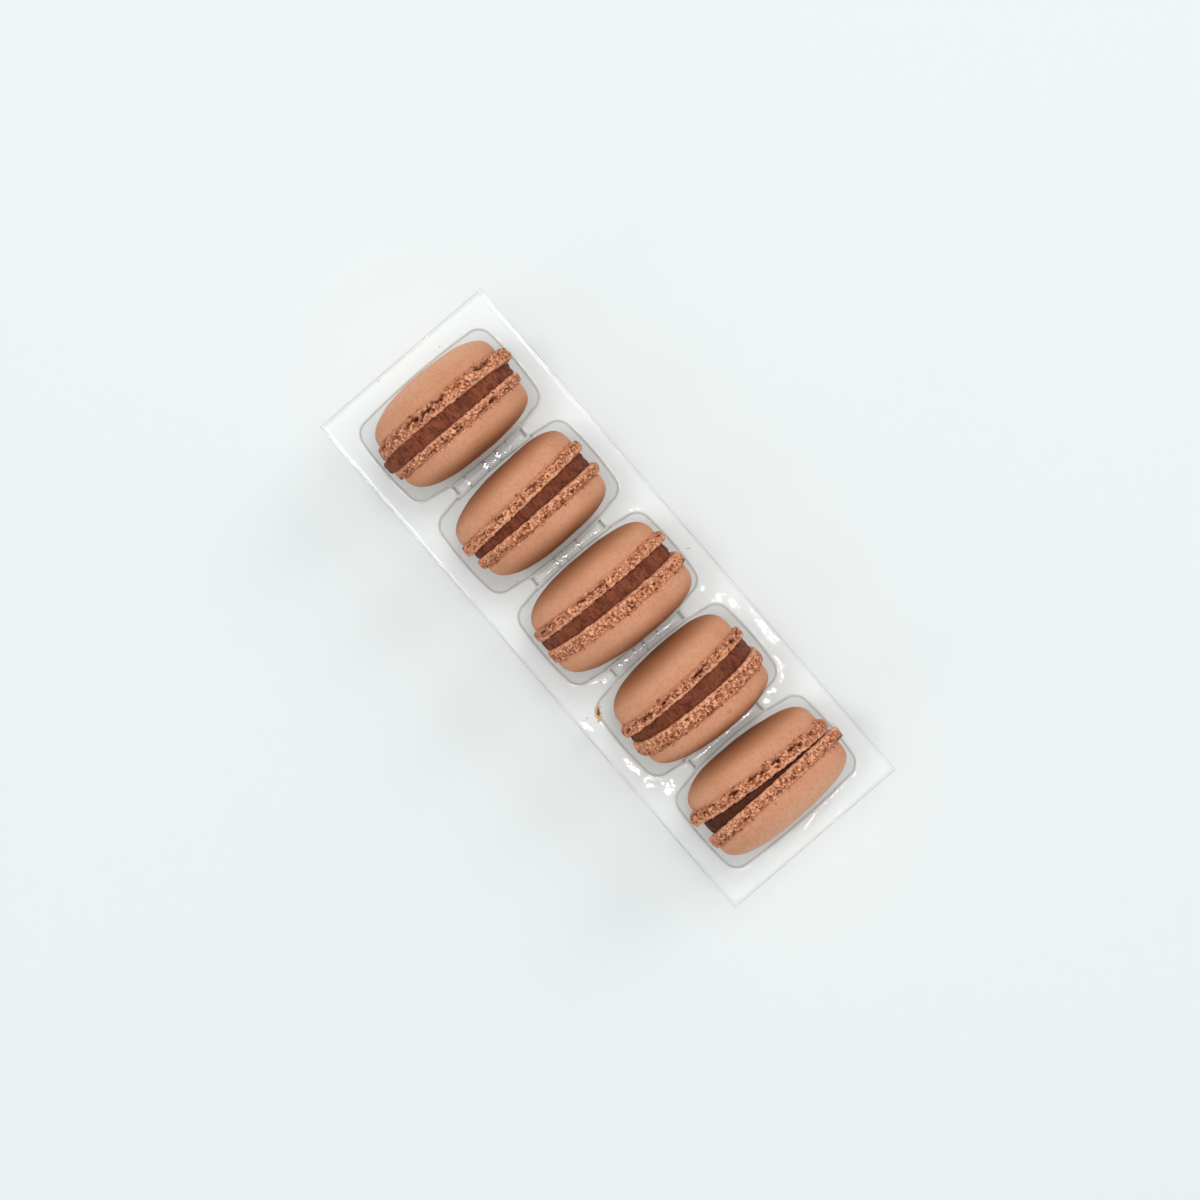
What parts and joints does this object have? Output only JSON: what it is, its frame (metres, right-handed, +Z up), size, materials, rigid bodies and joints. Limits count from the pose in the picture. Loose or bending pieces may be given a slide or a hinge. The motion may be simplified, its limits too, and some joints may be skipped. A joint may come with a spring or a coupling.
{
  "type": "tray of macarons",
  "caption": "Clear thermoformed tray of chocolate macarons standing on edge, one to a pocket, with craggy baked feet and a dark chocolate filling showing.",
  "frame": {"origin": "middle of the tray's underside, at the height it rests on", "axes": "+X along the tray from the first macaron to the fifth, +Y across the tray, +Z up out of the pockets"},
  "size_m": [0.18, 0.06, 0.0487],
  "materials": {
    "clear_sheet": "clear, glossy, thermoformed",
    "baked_shell": "matte, smooth dome with an open, craggy foot",
    "chocolate_filling": "dull, slightly rough"
  },
  "bodies": {
    "root": {"tray": "clear_sheet", "macaron_1_left_shell": "baked_shell", "macaron_1_filling": "chocolate_filling", "macaron_1_right_shell": "baked_shell", "macaron_2_left_shell": "baked_shell", "macaron_2_filling": "chocolate_filling", "macaron_2_right_shell": "baked_shell", "macaron_3_left_shell": "baked_shell", "macaron_3_filling": "chocolate_filling", "macaron_3_right_shell": "baked_shell", "macaron_4_left_shell": "baked_shell", "macaron_4_filling": "chocolate_filling", "macaron_4_right_shell": "baked_shell", "macaron_5_left_shell": "baked_shell", "macaron_5_filling": "chocolate_filling", "macaron_5_right_shell": "baked_shell"}
  },
  "joints": []
}
